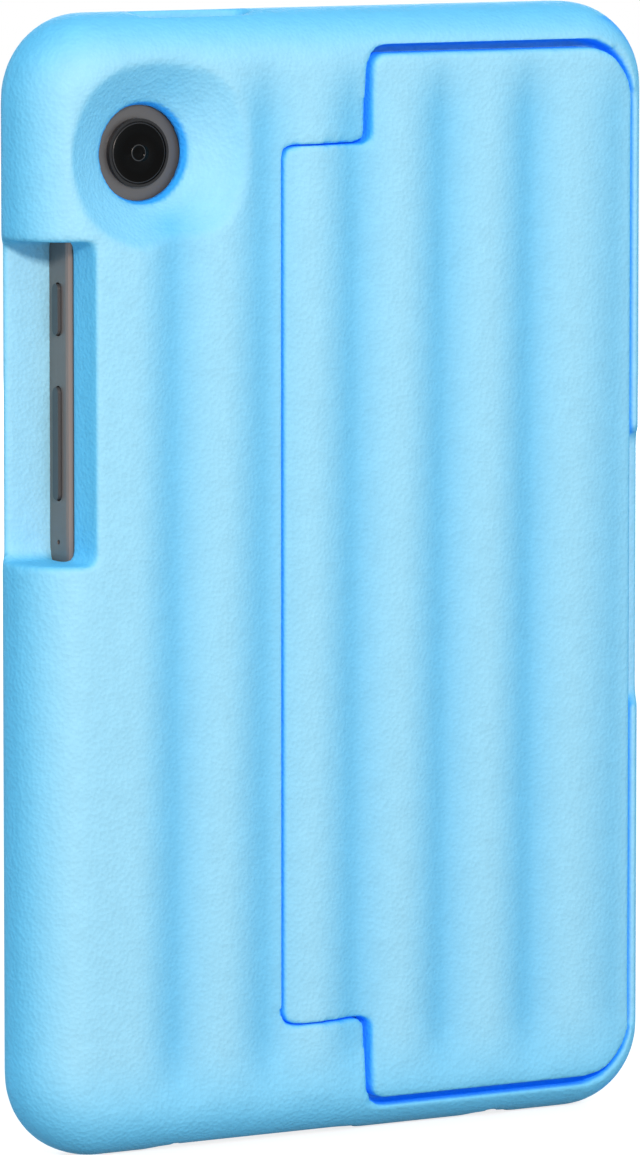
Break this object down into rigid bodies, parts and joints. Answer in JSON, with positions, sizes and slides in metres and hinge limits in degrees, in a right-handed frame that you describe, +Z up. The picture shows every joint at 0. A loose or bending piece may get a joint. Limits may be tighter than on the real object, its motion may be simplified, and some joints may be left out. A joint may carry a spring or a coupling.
{
  "type": "kids tablet cover with tablet",
  "caption": "Puffy foam cover for a small tablet, with the tablet in it: ribbed padded back, round camera dish, side cut-out over the keys and a fold-out stand flap.",
  "frame": {"origin": "middle of the bottom of the bounding box, on the flat strip that the cover's lower short edge stands on", "axes": "+Z up along the long edges, +Y out of the screen, -Y out of the padded back, +X towards the free edge of the stand flap"},
  "size_m": [0.1494, 0.0216, 0.2332],
  "materials": {
    "foam": "matte light-blue moulded foam with a fine pebbled skin",
    "graphite": "satin graphite-grey anodised",
    "black_glass": "glossy black",
    "dark_plastic": "matte near-black",
    "steel": "satin",
    "board": "green solder mask"
  },
  "bodies": {
    "cover": {"case_body": "foam", "stand_root": "foam", "tablet_housing": "graphite", "front_glass": "black_glass", "display_panel": "dark_plastic", "camera_ring": "graphite", "camera_glass": "black_glass", "camera_module": "dark_plastic", "usb_c_port": "steel", "headphone_jack": "dark_plastic", "battery": "dark_plastic", "main_board": "board", "shield_can": "steel", "port_board": "board", "top_speaker": "dark_plastic", "bottom_speaker": "dark_plastic", "front_camera": "dark_plastic"},
    "stand": {"stand_panel": "foam"},
    "power_button": {"power_key": "graphite"},
    "volume_rocker": {"volume_key": "graphite"}
  },
  "joints": [
    {"name": "stand_fold", "type": "hinge", "parent": "cover", "child": "stand", "pos_m": [0, -0.00935, 0.1166], "axis": [0, 0, -1], "range_deg": [0, 90]},
    {"name": "power_press", "type": "slide", "parent": "cover", "child": "power_button", "axis": [1, 0, 0], "range_m": [0, 0.0003], "stiffness_N_per_m": 6000},
    {"name": "volume_rock", "type": "hinge", "parent": "cover", "child": "volume_rocker", "pos_m": [-0.061, 0.00455, 0.1459], "axis": [0, 1, 0], "range_deg": [-1.5, 1.5], "stiffness_Nm_per_rad": 0.6}
  ]
}
